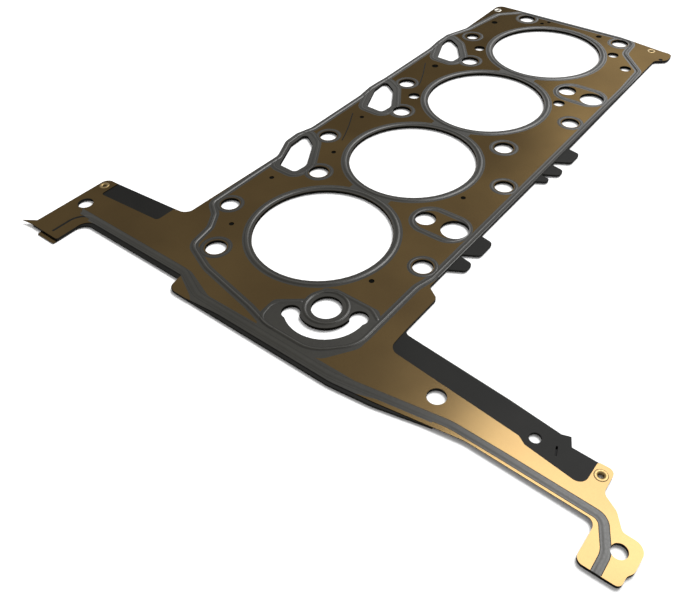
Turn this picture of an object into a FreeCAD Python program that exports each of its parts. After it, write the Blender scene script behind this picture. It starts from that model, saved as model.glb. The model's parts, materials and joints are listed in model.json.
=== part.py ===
import FreeCAD, Part
import math
import os

# Cylinder head gasket of a four-cylinder diesel engine, in millimetres. A black carrier sheet lies
# between two thin embossed steel sheets, and four tube rivets hold the stack together.
# +X runs along the cylinder row to the rear, +Y to the left side, +Z towards the head.
# The origin is the centre of the front bore, on the flat underside of the lower sheet.

# Cylinders and head bolts
BORE_COUNT = 4
BORE_PITCH = 94.0
BORE_R = 42.2
BOLT_SPAN = 84.0
BOLT_R = 6.4
SLEEVE_R = 8.5

# Layers
SHEET_T = 0.25
CARRIER_T = 1.2
STOPPER_H = 0.12
STOPPER_W = 1.1

# Embossed beads: wide ones round the bores, narrow ones along the sealing edge
BEAD_H = 0.4
BORE_BEAD = (2.8, 1.0)
SEAL_BEAD = (2.2, 0.8)
BEAD_TO_BORE = 1.4
SEAL_INSET = 2.6

# Body of the gasket, between the two arms and the rear end
LEFT_EDGE = 76.8
RIGHT_EDGE = 77.2
FRONT_EDGE = 85.3
REAR_REACH = 58.0
CARRIER_STEP = 1.9
BULGE = 5.6
FIRST_BULGE = 8.0

# Left arm
LEFT_ARM_END = 151.0
LEFT_ARM_STEM = 75.7
LEFT_ARM_TIP = 98.5
LEFT_ARM_OUTER = 40.3
LEFT_ARM_HOOK = 25.5
LEFT_ARM_STEP = 2.6
LOWER_HOOK_REACH = 3.0

# Right arm
RIGHT_ARM_END = 227.4
RIGHT_ARM_TIP = 97.2
RIGHT_ARM_OUTER = 37.3
RIGHT_ARM_STEM = 75.4
RIGHT_ARM_INSET = 1.6
SHOULDER = 85.3

# Holes
PORT_REACH = (39.5, 38.0, 34.5)
SLOT_INNER_R = 15.2
SLOT_OUTER_R = 23.2
DRAIN_R = 6.0
RETURN_R = 8.5
VENT_R = 4.2
PILOT_R = 1.6
ARM_HOLE_R = 4.9
TIP_HOLE_R = 3.6
PLATE_HOLE_R = 2.9
SLIT_LENGTH = 5.2
SLIT_WIDTH = 1.0

# Eyelets
EYELET_R = 2.0
EYELET_BORE_R = 1.2
EYELET_FLANGE_R = 3.2
EYELET_FLANGE_T = 0.25
EYELET_CLEARANCE = 0.05
EYELET_NAMES = ("eyelet_right_arm", "eyelet_left_arm", "rivet_far_left", "rivet_far_right")

# Tabs of the carrier past the right edge: the share of its reach by which each side slants
TAB_REACH = 9.0
SHORT_TAB_REACH = 6.0
TAB_FRONT_SLANT = 0.55
TAB_REAR_SLANT = 0.2

CARRIER_Z = SHEET_T
UPPER_Z = CARRIER_Z + CARRIER_T + STOPPER_H
REAR_BORE_X = (BORE_COUNT - 1) * BORE_PITCH
REAR_EDGE = REAR_BORE_X + REAR_REACH
BOLT_Y = BOLT_SPAN / 2
FRONT_BOLT_X = -BORE_PITCH / 2
RING_R = BORE_R + BEAD_TO_BORE + BORE_BEAD[0] / 2

# Half the inner angle above which a corner counts as straight
STRAIGHT = math.radians(89.8)


def vec(x, y, z=0.0):
    return FreeCAD.Vector(x, y, z)


def bore_x(index):
    return index * BORE_PITCH


def corner(before, here, after, radius):
    """The tangent arc at one corner, as start, middle, end, centre and radius, no larger than its runs."""
    back = before - here
    ahead = after - here
    room = 0.49 * min(back.Length, ahead.Length)
    back.normalize()
    ahead.normalize()
    half = math.acos(max(-1.0, min(1.0, back.dot(ahead)))) / 2
    if radius == 0 or half > STRAIGHT:
        return here, None, here, None, 0.0
    reach = min(radius / math.tan(half), room)
    radius = reach * math.tan(half)
    inward = back + ahead
    inward.normalize()
    centre = here + inward * (radius / math.sin(half))
    return here + back * reach, centre - inward * radius, here + ahead * reach, centre, radius


def runs(points, closed):
    """Straight runs and tangent arcs through corner points (x, y, radius)."""
    spots = [vec(x, y) for x, y, _ in points]
    last = len(points) - 1
    joints = []
    for i, (_, _, radius) in enumerate(points):
        if not closed and i in (0, last):
            joints.append((spots[i], None, spots[i], None, 0.0))
        else:
            joints.append(corner(spots[i - 1], spots[i], spots[(i + 1) % len(points)], radius))
    found = []
    for i, joint in enumerate(joints):
        if joint[4]:
            found.append(("arc", *joint))
        if i < last or closed:
            ahead = joints[(i + 1) % len(joints)]
            if (ahead[0] - joint[2]).Length > 1e-6:
                found.append(("line", joint[2], ahead[0]))
    return found


def outline(points):
    """Closed wire through corner points (x, y, radius)."""
    edges = []
    for run in runs(points, True):
        if run[0] == "line":
            edges.append(Part.LineSegment(run[1], run[2]).toShape())
        else:
            edges.append(Part.Arc(run[1], run[2], run[3]).toShape())
    return Part.Wire(edges)


def plate(points, thickness):
    return Part.Face(outline(points)).extrude(vec(0, 0, thickness))


def drill(x, y, radius, depth):
    return Part.makeCylinder(radius, depth, vec(x, y, 0))


def rib_section(at, along, width):
    """Cross-section of a bead of some foot and crest width, on z = 0 across its direction."""
    across = vec(-along.y, along.x)
    up = vec(0, 0, BEAD_H)
    foot = across * (width[0] / 2)
    crest = across * (width[1] / 2)
    ring = [at - foot, at + foot, at + crest + up, at - crest + up, at - foot]
    return Part.Face(Part.makePolygon(ring))


def rib(points, width, closed=False):
    """Solids of one bead along corner points, with round ends where the path is open."""
    solids = []
    for run in runs(points, closed):
        if run[0] == "line":
            along = run[2] - run[1]
            step = vec(along.x, along.y)
            along.normalize()
            solids.append(rib_section(run[1], along, width).extrude(step))
        else:
            _, start, _, end, centre, _ = run
            spoke = start - centre
            turn = math.atan2(spoke.cross(end - centre).z, spoke.dot(end - centre))
            along = vec(-spoke.y, spoke.x)
            along.normalize()
            section = rib_section(start, along, width)
            solids.append(section.revolve(centre, vec(0, 0, 1), math.degrees(turn)))
    if not closed:
        for x, y, _ in (points[0], points[-1]):
            solids.append(Part.makeCone(width[0] / 2, width[1] / 2, BEAD_H, vec(x, y, 0)))
    return solids


def ring_rib(x, y, radius, width):
    """Solid of a bead that runs a full circle."""
    section = rib_section(vec(x + radius, y), vec(0, 1), width)
    return section.revolve(vec(x, y), vec(0, 0, 1), 360)


def fused(solids):
    return solids[0].multiFuse(solids[1:]).removeSplitter()


def left_arm(stem, hook, notched):
    """The left arm from its inner root round the tip to the long left edge, clockwise."""
    end = LEFT_ARM_END
    points = [
        (-stem, end - LEFT_ARM_HOOK, 7.0),
        *hook,
        (-LEFT_ARM_OUTER, end - 0.6, 5.0),
    ]
    if notched:
        points += [
            (-LEFT_ARM_OUTER + 0.4, end - 10.7, 0),
            (-LEFT_ARM_OUTER - 13.2, end - 10.7, 2.0),
            (-LEFT_ARM_OUTER - 10.0, end - 61.0, 2.5),
            (-LEFT_ARM_OUTER + 4.0, end - 61.2, 0),
        ]
    return points + [(-LEFT_ARM_OUTER + 5.1, LEFT_EDGE + 3.0, 7.5)]


def left_edge(inset):
    """The long left edge, which swells over each slanted port, or a line inside it."""
    y = LEFT_EDGE - inset
    return [
        (bore_x(0) + 45.5, y, 10.0),
        (bore_x(0) + 62.0, y + FIRST_BULGE - 0.4, 8.0),
        (bore_x(0) + 74.0, y + FIRST_BULGE, 8.0),
        (bore_x(0) + 86.0, y + BULGE - 1.2, 10.0),
        (bore_x(1) + 47.0, y + BULGE - 1.8, 10.0),
        (bore_x(1) + 62.0, y + BULGE, 8.0),
        (bore_x(1) + 80.0, y + BULGE - 1.2, 10.0),
        (bore_x(2) + 47.0, y + BULGE - 1.8, 10.0),
        (bore_x(2) + 62.0, y + BULGE, 8.0),
        (bore_x(2) + 76.0, y + BULGE, 8.0),
        (bore_x(3) + 2.0, y - 1.2, 9.0),
    ]


def rear_end():
    """The rear end, slanted near the right corner, where it swells into a lug."""
    return [
        (REAR_EDGE, LEFT_EDGE - 0.6, 6.0),
        (REAR_EDGE, -BOLT_Y + 4.0, 15.0),
        (REAR_EDGE - 6.0, -RIGHT_EDGE + 2.0, 12.0),
        (REAR_EDGE - 6.6, -RIGHT_EDGE - 6.6, 5.0),
        (REAR_EDGE - 18.6, -RIGHT_EDGE - 6.8, 6.0),
        (REAR_EDGE - 24.6, -RIGHT_EDGE + 1.2, 4.0),
    ]


def right_edge(tabs):
    """The long right edge towards the front, with any tabs that stand past it."""
    points = []
    for front, rear, reach in tabs:
        points += [
            (rear, -RIGHT_EDGE, 0),
            (rear - TAB_REAR_SLANT * reach, -RIGHT_EDGE - reach, 3.0),
            (front + TAB_FRONT_SLANT * reach, -RIGHT_EDGE - reach, 3.0),
            (front, -RIGHT_EDGE, 0),
        ]
    return points + [(-1.5, -RIGHT_EDGE, 3.0), (-6.8, -SHOULDER, 3.5)]


def right_arm(notched):
    """The right arm from the shoulder to the tip, with its eyelet tab, lobe and foot."""
    outer = -RIGHT_ARM_OUTER
    end = -RIGHT_ARM_END
    if notched:
        points = [
            (outer + 0.7, -SHOULDER, 0),
            (outer - 13.8, -SHOULDER - 0.6, 6.0),
            (outer - 21.3, end + 64.4, 0),
            (outer - 24.0, end + 60.0, 0),
            (outer - 28.0, end + 30.4, 4.5),
        ]
    else:
        points = [
            (outer, -SHOULDER, 4.0),
            (outer - 5.7, end + 77.4, 20.0),
            (outer - 9.0, end + 49.6, 0),
            (outer - 7.6, end + 45.4, 0),
            (outer - 12.6, end + 42.8, 0),
        ]
    return points + [
        (outer - 12.9, end + 30.4, 1.5),
        (outer - 12.7, end + 22.5, 3.0),
        (outer - 25.6, end + 22.1, 4.0),
        (outer - 30.2, end + 14.4, 5.0),
        (outer - 37.6, end + 8.8, 2.5),
        (outer - 37.9, end - 1.9, 7.5),
        (outer - 51.0, end - 1.9, 5.0),
        (outer - 54.0, end, 3.0),
        (-RIGHT_ARM_TIP, end, 2.5),
        (-RIGHT_ARM_TIP, end + 19.0, 3.5),
    ]


def front_edge(stem_in, step, root):
    """The front edge from the right arm's foot to the left arm's stem."""
    points = [
        (-RIGHT_ARM_STEM - 1.5 + stem_in, -RIGHT_ARM_END + 19.2, 4.0),
        (-RIGHT_ARM_STEM + stem_in, -RIGHT_ARM_END + 82.0, 30.0),
    ]
    if step:
        points += [
            (-RIGHT_ARM_STEM - 0.6, -RIGHT_ARM_END + 97.4, 0),
            (-RIGHT_ARM_STEM - 2.4, -RIGHT_ARM_END + 98.2, 0),
        ]
    return points + [
        (-FRONT_EDGE - step + 2.9, -SHOULDER - 14.5, 40.0),
        (-FRONT_EDGE - step, -SHOULDER + 10.0, 40.0),
        (-FRONT_EDGE - step, 2.0, 60.0),
        (-FRONT_EDGE - CARRIER_STEP, 25.0, 20.0),
        (-FRONT_EDGE - CARRIER_STEP, 38.7, 7.0),
        (-root, 40.3, 1.2),
    ]


PLAIN_HOOK = [
    (-LEFT_ARM_TIP, LEFT_ARM_END - LEFT_ARM_HOOK, 1.5),
    (-LEFT_ARM_TIP, LEFT_ARM_END, 1.5),
]

SPUR = [
    (-LEFT_ARM_TIP, LEFT_ARM_END - LEFT_ARM_HOOK, 1.5),
    (-LEFT_ARM_TIP, LEFT_ARM_END - 1.0, 0),
    (-LEFT_ARM_TIP - 1.3, LEFT_ARM_END + 8.3, 0),
    (-LEFT_ARM_TIP + 4.2, LEFT_ARM_END - 0.1, 0),
]

LOWER_HOOK = [
    (-LEFT_ARM_TIP - LOWER_HOOK_REACH, LEFT_ARM_END - LEFT_ARM_HOOK, 1.0),
    (-LEFT_ARM_TIP - LOWER_HOOK_REACH, LEFT_ARM_END - 9.5, 1.0),
    (-LEFT_ARM_TIP, LEFT_ARM_END - 9.5, 0),
    (-LEFT_ARM_TIP, LEFT_ARM_END, 1.5),
]

# Front and rear foot and reach of each tab, from the rear to the front
TABS = [
    (bore_x(1) + 52.4, bore_x(1) + 71.2, TAB_REACH),
    (bore_x(1) + 35.0, bore_x(1) + 48.0, TAB_REACH),
    (bore_x(1) + 25.6, bore_x(1) + 33.8, SHORT_TAB_REACH),
    (32.2, 52.6, TAB_REACH),
    (16.4, 30.2, TAB_REACH),
]


def upper_outline():
    """The upper sheet, with a notch in each arm."""
    body = left_edge(0) + rear_end() + right_edge([])
    front = right_arm(True) + front_edge(0.0, 0.0, LEFT_ARM_STEM)
    return left_arm(LEFT_ARM_STEM, SPUR, True) + body + front


def carrier_outline():
    """The carrier, with tabs past the right edge and a wider stem at the left arm."""
    stem = LEFT_ARM_STEM + LEFT_ARM_STEP
    body = left_edge(0) + rear_end() + right_edge(TABS)
    front = right_arm(False) + front_edge(RIGHT_ARM_INSET, CARRIER_STEP, stem)
    return left_arm(stem, PLAIN_HOOK, False) + body + front


def lower_outline():
    """The lower sheet, which reaches past the others at the tip of the left arm."""
    stem = LEFT_ARM_STEM + LEFT_ARM_STEP - 0.4
    body = left_edge(0) + rear_end() + right_edge([])
    front = right_arm(False) + front_edge(RIGHT_ARM_INSET, CARRIER_STEP, stem)
    return left_arm(stem, LOWER_HOOK, False) + body + front


def bolt_holes():
    """Head bolt holes, two by each gap between cylinders and at both ends, less the front right one."""
    spots = []
    for index in range(BORE_COUNT + 1):
        x = FRONT_BOLT_X + index * BORE_PITCH
        spots.append((x, BOLT_Y, BOLT_R))
        if index > 0:
            spots.append((x, -BOLT_Y, BOLT_R))
    return spots


def sleeve_hole():
    return (FRONT_BOLT_X, -BOLT_Y, SLEEVE_R)


def fluid_holes():
    """Oil and coolant holes that pass through all three layers."""
    right = -RIGHT_EDGE
    left = LEFT_EDGE
    return [
        (-12.0, left - 11.8, DRAIN_R),
        (bore_x(1) - 9.5, left - 12.3, DRAIN_R),
        (bore_x(2) - 11.0, left - 14.3, DRAIN_R),
        (bore_x(3) - 8.5, left - 13.8, DRAIN_R - 1.0),
        (bore_x(2) - 24.0, left - 29.8, VENT_R),
        (bore_x(3) - 24.0, left - 29.8, VENT_R),
        (10.0, right + 12.2, DRAIN_R),
        (bore_x(1) + 8.5, right + 13.2, DRAIN_R),
        (bore_x(2) + 7.0, right + 13.2, DRAIN_R),
        (bore_x(3) + 9.0, right + 14.2, VENT_R),
        (bore_x(1) / 2 + 1.0, right + 15.2, RETURN_R),
        (bore_x(2) + 45.5, right + 15.2, RETURN_R),
        (bore_x(2) + 27.0, right + 32.0, VENT_R),
        (bore_x(3) + 25.0, right + 31.2, VENT_R),
        (-65.5, LEFT_ARM_END - 10.3, ARM_HOLE_R),
        (-62.0, -RIGHT_ARM_END + 105.8, ARM_HOLE_R),
        (-RIGHT_ARM_TIP + 13.9, -RIGHT_ARM_END + 6.4, TIP_HOLE_R),
    ]


def pilot_holes():
    """Small holes in the upper sheet alone."""
    return [
        (-26.0, 50.0, PILOT_R),
        (24.0, 62.8, PILOT_R),
        (bore_x(1) - 23.5, 48.5, PILOT_R),
        (bore_x(1) + 23.5, 60.5, PILOT_R),
        (bore_x(2) + 24.0, 60.0, 1.6 * PILOT_R),
        (bore_x(3) + 25.0, 61.5, 1.6 * PILOT_R),
        (-16.5, -49.0, PILOT_R),
        (bore_x(1) - 16.5, -49.5, PILOT_R),
        (bore_x(3) + 45.5, 27.0, PILOT_R),
        (bore_x(3) + 51.0, 23.5, PILOT_R),
        (bore_x(3) + 49.0, -23.0, 1.5 * PILOT_R),
        (REAR_EDGE - 20.0, -RIGHT_EDGE - 2.2, PILOT_R),
    ]


def plate_hole():
    """The hole in the notch of the right arm, through the carrier and the lower sheet."""
    return (-RIGHT_ARM_OUTER - 17.7, -RIGHT_ARM_END + 58.0, PLATE_HOLE_R)


def eyelet_spots():
    return [
        (-RIGHT_ARM_OUTER - 18.4, -RIGHT_ARM_END + 26.6),
        (-LEFT_ARM_OUTER - 6.0, LEFT_ARM_END - 4.9),
        (REAR_EDGE - 9.5, LEFT_EDGE - 5.0),
        (REAR_EDGE - 10.0, -RIGHT_EDGE + 9.5),
    ]


def port_corners(index):
    """Corners of the slanted port beside one cylinder."""
    x = bore_x(index) + 38.0
    y = LEFT_EDGE - (14.2 if index else 12.6)
    reach = PORT_REACH[index]
    return [
        (x - 0.5, y - 9.5, 3.0),
        (x, y + 4.5, 2.5),
        (x + 23.0, y + 14.2, 4.0),
        (x + reach, y + 14.8, 2.5),
        (x + reach - 8.0, y + 2.0, 10.0),
        (x + 10.0, y - 10.7, 8.0),
    ]


def curved_slot(depth):
    """The slot that runs round the sleeve hole on its front and right sides, with round ends."""
    x, y, _ = sleeve_hole()
    start, sweep = 136.0, 146.0
    middle = (SLOT_INNER_R + SLOT_OUTER_R) / 2
    end_r = 1.3 * (SLOT_OUTER_R - SLOT_INNER_R) / 2
    disc = Part.makeCylinder(SLOT_OUTER_R, depth, vec(x, y), vec(0, 0, 1), sweep)
    disc.rotate(vec(x, y), vec(0, 0, 1), start)
    solids = [disc.cut(Part.makeCylinder(SLOT_INNER_R, depth, vec(x, y)))]
    for angle in (start, start + sweep):
        along = math.radians(angle)
        solids.append(drill(x + middle * math.cos(along), y + middle * math.sin(along), end_r, depth))
    return fused(solids)


def openings(depth):
    """Every cut that passes through all three layers."""
    cuts = [drill(bore_x(i), 0, BORE_R, depth) for i in range(BORE_COUNT)]
    for x, y, radius in bolt_holes() + [sleeve_hole()] + fluid_holes():
        cuts.append(drill(x, y, radius, depth))
    for x, y in eyelet_spots():
        cuts.append(drill(x, y, EYELET_R + EYELET_CLEARANCE, depth))
    for index in range(BORE_COUNT - 1):
        cuts.append(plate(port_corners(index), depth))
    cuts.append(curved_slot(depth))
    return cuts


def seal_path():
    """The bead that closes off the crankcase, just inside the edge and round both ends."""
    right = -RIGHT_EDGE + SEAL_INSET
    rear = REAR_EDGE - SEAL_INSET + 0.3
    front = [
        (-25.0, 65.0, 8.0),
        (-36.0, 58.0, 12.0),
        (-54.0, 54.8, 9.0),
        (-63.0, 33.0, 30.0),
        (-71.0, -8.0, 40.0),
        (-75.5, -24.0, 20.0),
        (-75.5, -55.0, 20.0),
        (-59.0, right + 2.9, 18.0),
        (-6.0, right + 2.9, 15.0),
    ]
    right_side = [
        (5.0, right, 15.0),
        (bore_x(2) + 72.0, right, 15.0),
        (bore_x(3) + 10.0, right + 1.4, 8.0),
        (bore_x(3) + 32.0, -BOLT_Y - 10.5, 12.0),
        (rear, -BOLT_Y - 8.9, 9.0),
    ]
    rear_side = [
        (rear, BOLT_Y + 10.0, 8.0),
        (rear - 15.0, LEFT_EDGE - 9.3, 10.0),
    ]
    left_side = left_edge(SEAL_INSET)[::-1]
    return front + right_side + rear_side + left_side + [(-18.0, LEFT_EDGE - 1.7, 7.0)]


def arm_path():
    """The bead along the front edge and both arms, which seals the timing case."""
    return [
        (-LEFT_ARM_TIP + 4.0, LEFT_ARM_END - 17.0, 0),
        (-LEFT_ARM_STEM + 3.4, LEFT_ARM_END - 17.0, 12.0),
        (-LEFT_ARM_STEM + 3.4, 42.0, 15.0),
        (-FRONT_EDGE + 4.0, 22.0, 15.0),
        (-FRONT_EDGE + 3.5, -SHOULDER + 12.0, 40.0),
        (-RIGHT_ARM_STEM + 3.6, -RIGHT_ARM_END + 92.0, 40.0),
        (-RIGHT_ARM_STEM + 3.2, -RIGHT_ARM_END + 65.0, 40.0),
        (-RIGHT_ARM_STEM + 1.8, -RIGHT_ARM_END + 17.5, 6.0),
        (-RIGHT_ARM_TIP + 10.0, -RIGHT_ARM_END + 10.2, 12.0),
        (-RIGHT_ARM_TIP + 4.0, -RIGHT_ARM_END + 10.0, 0),
    ]


def bore_ribs():
    return [ring_rib(bore_x(i), 0, RING_R, BORE_BEAD) for i in range(BORE_COUNT)]


def sheet_ribs():
    """Every bead of the upper sheet."""
    x, y, radius = sleeve_hole()
    ribs = bore_ribs() + rib(seal_path(), SEAL_BEAD, True) + rib(arm_path(), SEAL_BEAD)
    ribs.append(ring_rib(x, y, (radius + SLOT_INNER_R) / 2, SEAL_BEAD))
    return ribs


def embossed(points, ribs, cuts):
    """A sheet of even thickness, with its beads raised above z = SHEET_T and hollow underneath."""
    beads = fused(ribs)
    raised = beads.copy()
    raised.translate(vec(0, 0, SHEET_T))
    return plate(points, SHEET_T).fuse(raised).cut(beads).cut(cuts).removeSplitter()


def upper_sheet():
    depth = SHEET_T + BEAD_H
    cuts = openings(depth) + [drill(x, y, radius, depth) for x, y, radius in pilot_holes()]
    sheet = embossed(upper_outline(), sheet_ribs(), cuts)
    sheet.translate(vec(0, 0, UPPER_Z))
    return sheet


def lower_sheet():
    """The lower sheet, with its bore beads down."""
    depth = SHEET_T + BEAD_H
    sheet = embossed(lower_outline(), bore_ribs(), openings(depth) + [drill(*plate_hole(), depth)])
    sheet = sheet.mirror(vec(0, 0, 0), vec(0, 0, 1))
    sheet.translate(vec(0, 0, SHEET_T))
    return sheet


def carrier_sheet():
    """The carrier, with a coined land round each bore that keeps the bore bead from going flat."""
    height = CARRIER_T + STOPPER_H
    lands = [Part.makeCylinder(BORE_R + STOPPER_W, height, vec(bore_x(i), 0)) for i in range(BORE_COUNT)]
    x, y, radius = plate_hole()
    slit = Part.makeBox(SLIT_LENGTH, SLIT_WIDTH, height, vec(-SLIT_LENGTH / 2, -SLIT_WIDTH / 2))
    slit.rotate(vec(0, 0), vec(0, 0, 1), 20)
    slit.translate(vec(x - 0.7, y - 10.6))
    cuts = openings(height) + [slit, drill(x, y, radius, height)]
    sheet = plate(carrier_outline(), CARRIER_T).fuse(lands).cut(cuts).removeSplitter()
    sheet.translate(vec(0, 0, CARRIER_Z))
    return sheet


def eyelet(x, y):
    """A tube rivet with a flared flange at both ends, which hold the three layers."""
    high = UPPER_Z + SHEET_T
    profile = [
        (EYELET_BORE_R, -EYELET_FLANGE_T),
        (EYELET_FLANGE_R, 0),
        (EYELET_R, 0),
        (EYELET_R, high),
        (EYELET_FLANGE_R, high),
        (EYELET_BORE_R, high + EYELET_FLANGE_T),
    ]
    ring = [vec(x + r, y, z) for r, z in profile + profile[:1]]
    return Part.Face(Part.makePolygon(ring)).revolve(vec(x, y), vec(0, 0, 1), 360)


def save(name, shape):
    shape.exportStep(os.path.join("parts", name + ".step"))
    print(name, len(shape.Solids), "solid", shape.isValid(), round(shape.Volume, 1), "cubic mm")


os.makedirs("parts", exist_ok=True)
save("upper_sheet", upper_sheet())
save("carrier_sheet", carrier_sheet())
save("lower_sheet", lower_sheet())
for spot, name in zip(eyelet_spots(), EYELET_NAMES):
    save(name, eyelet(*spot))
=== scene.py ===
import json
import math

import bmesh
import bpy
import numpy as np
from mathutils import Matrix, Vector
from mathutils.bvhtree import BVHTree
from mathutils.geometry import delaunay_2d_cdt


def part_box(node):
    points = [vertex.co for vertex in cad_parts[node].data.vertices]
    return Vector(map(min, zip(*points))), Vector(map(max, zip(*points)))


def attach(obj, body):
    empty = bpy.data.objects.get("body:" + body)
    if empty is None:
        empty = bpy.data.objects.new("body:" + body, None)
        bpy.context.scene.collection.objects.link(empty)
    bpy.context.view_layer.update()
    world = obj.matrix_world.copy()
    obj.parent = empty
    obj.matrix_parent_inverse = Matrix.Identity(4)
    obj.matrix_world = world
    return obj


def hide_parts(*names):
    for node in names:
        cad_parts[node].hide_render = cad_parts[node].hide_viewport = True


bl_info = {
    "name": "Cylinder head gasket",
    "version": (1, 0, 0),
    "blender": (4, 5, 0),
    "location": "3D View > Sidebar > Gasket",
    "description": "Dresses the layers of a cylinder head gasket and sets it on a pale floor",
    "category": "Object",
}

# The frame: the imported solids, in metres
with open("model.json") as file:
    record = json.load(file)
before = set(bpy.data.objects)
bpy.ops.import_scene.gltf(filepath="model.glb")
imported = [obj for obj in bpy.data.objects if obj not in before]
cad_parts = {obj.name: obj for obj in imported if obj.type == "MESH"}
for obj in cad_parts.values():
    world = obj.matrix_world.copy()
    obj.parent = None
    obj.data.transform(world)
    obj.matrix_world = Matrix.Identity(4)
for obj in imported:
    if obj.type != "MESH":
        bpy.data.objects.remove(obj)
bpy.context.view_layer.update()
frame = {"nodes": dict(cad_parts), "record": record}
NODES = frame["nodes"]
MOUNTS = {mount["name"]: mount for mount in frame["record"]["mounts"]}
MM = 0.001

# What the beads and the prints line up with, in millimetres
BORE_NAMES = [name for name in MOUNTS if name.startswith("cylinder_bore")]
BORES = [tuple(value / MM for value in MOUNTS[name]["pos_m"][:2]) for name in BORE_NAMES]
BORE_R = MOUNTS["cylinder_bore_1"]["dims"]["r_mm"]
PITCH = BORES[1][0] - BORES[0][0]
BOLT_Y = MOUNTS["head_bolts_front"]["dims"]["spacing_y_mm"] / 2
SLEEVE = tuple(value / MM for value in MOUNTS["sleeve_hole"]["pos_m"][:2])
SLEEVE_R = MOUNTS["sleeve_hole"]["dims"]["r_mm"]
CREST_Z = MOUNTS["head_face"]["pos_m"][2] / MM
FLOOR_Z = MOUNTS["block_face"]["pos_m"][2] / MM
BEAD_H = 0.4
SHEET_T = 0.25
TOP_Z = CREST_Z - BEAD_H

# Heights of the lower beads, as shares of the full one
LOOP_RISE = 0.4
RING_RISE = 0.2
ARM_RISE = 0.25

# Half widths of the prints and marks, in millimetres
BORE_PRINT = 2.7
SEAL_PRINT = 2.6
ARM_PRINT = 2.3
LOOP_PRINT = 2.2
SLEEVE_PRINT = 2.0
SLOT_SIDE_PRINT = 1.4
BOLT_PRINT = 1.3
DRAIN_PRINT = 1.2
RIM_PRINT = 0.6
MARK_REACH = 0.4

# Radii of the ring beads, in millimetres
BORE_RING = BORE_R + 2.8
BOLT_RING = 8.5
DRAIN_RING = 7.8

# How far the rolled rim lies inside its edge, and a loop outside its port, in millimetres
RIM_INSET = 0.7
LOOP_OUT = 4.4

# Edges of the body and the arms, in millimetres
LEFT_EDGE = 76.8
RIGHT_EDGE = 77.2
FRONT_EDGE = 85.3
SHOULDER = 85.3
REAR_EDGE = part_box("upper_sheet")[1].x / MM
LEFT_ARM_END = 151.0
LEFT_ARM_STEM = 75.7
LEFT_ARM_TIP = 98.5
RIGHT_ARM_END = 227.4
RIGHT_ARM_STEM = 75.4
RIGHT_ARM_TIP = 97.2
SEAL_INSET = 2.6
BULGE = 5.6
FIRST_BULGE = 8.0
SLOT_INNER_R = 15.2

# Eyelets, in millimetres, with the ridge of the roll as a share of its width
EYELET_BORE_R = 1.2
EYELET_TUBE_R = 2.0
RIDGE_SHARE = 0.58
LIP_DROP = 0.75
RING_STEPS = 48
ROLL_STEPS = 5

# Holes with beads of their own, in millimetres
BOLT_X = [BORES[0][0] + PITCH * (i - 0.5) for i in range(len(BORES) + 1)]
PAIR_X = (PITCH / 2 + 0.2, 2.5 * PITCH - 0.7)
PAIR_BOLTS = [(PITCH / 2, -BOLT_Y), (2.5 * PITCH, -BOLT_Y)]
DRAINS = [(-12.0, 65.0), (PITCH - 9.5, 64.5), (2 * PITCH - 11.0, 62.5), (3 * PITCH - 8.5, 63.0),
          (10.0, -65.0), (PITCH + 8.5, -64.0), (2 * PITCH + 7.0, -64.0)]

# Turn of one step along an arc of a path
ARC_STEP = math.radians(4.0)

# Fold lines across a bead, as shares of its half width
BEAD_SHARES = (0.3, 0.55, 0.8, 1.0)

# Flat strip beside the feet of a bead that gets a line of its own, in millimetres
BEAD_GUARD = 0.35

# Numbers of the finishes on a face, and the names of those over the coat in the same order; the print edge
# is partly painted shade at a bead's foot, and the crease is painted shade
COAT, PRINT, PRINT_EDGE_AND_SHADE, CREASE_SHADE = range(4)
PRINTS = ("Print", "Print edge", "Crease")

# Size of the finest grain of the finishes
FINE_GRAIN = 900.0

# The photograph's camera: its turn as an axis times an angle, its shift in fitted bore radii,
# that radius in millimetres, and its focal length on a 36 mm sensor
CAMERA_TURN = (2.14160756, -1.05913987, 0.399698104)
CAMERA_SHIFT = (-0.389560046, -1.00054571, 10.2159030)
CAMERA_UNIT = 42.194
CAMERA_LENS = 37.317
SENSOR_WIDTH = 36.0

# Wide prints, as corner points (x, y, radius) in millimetres
SLOT_PRINT = [
    (-78.0, -20.0, 0),
    (-72.0, -15.5, 4.0),
    (-59.0, -15.0, 5.0),
    (-48.0, -29.5, 4.0),
    (-36.0, -31.5, 3.0),
    (-32.6, -38.0, 3.0),
    (-32.6, -66.0, 4.0),
    (-40.0, -74.0, 0),
    (-60.0, -74.0, 8.0),
    (-78.0, -62.0, 8.0),
]
FRONT_PRINT = [
    (-90.0, 18.0, 0),
    (-90.0, -70.0, 0),
    (-80.3, -100.0, 0),
    (-76.0, -128.0, 0),
    (-70.6, -128.0, 0),
    (-74.6, -108.0, 20.0),
    (-77.6, -88.0, 20.0),
    (-78.0, -20.0, 20.0),
    (-78.4, 16.0, 12.0),
    (-70.2, 38.0, 12.0),
    (-70.2, 125.0, 0),
    (-76.0, 125.0, 0),
    (-76.0, 41.0, 0),
    (-84.5, 24.0, 12.0),
]


class Value:
    """An output socket that takes part in arithmetic."""

    def __init__(self, graph, socket):
        self.graph = graph
        self.socket = socket

    def __add__(self, other):
        return self.graph.maths("ADD", self, other)

    def __sub__(self, other):
        return self.graph.maths("SUBTRACT", self, other)

    def __rsub__(self, other):
        return self.graph.maths("SUBTRACT", other, self)

    def __mul__(self, other):
        return self.graph.maths("MULTIPLY", self, other)

    def __truediv__(self, other):
        return self.graph.maths("DIVIDE", self, other)

    __radd__ = __add__
    __rmul__ = __mul__


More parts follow.
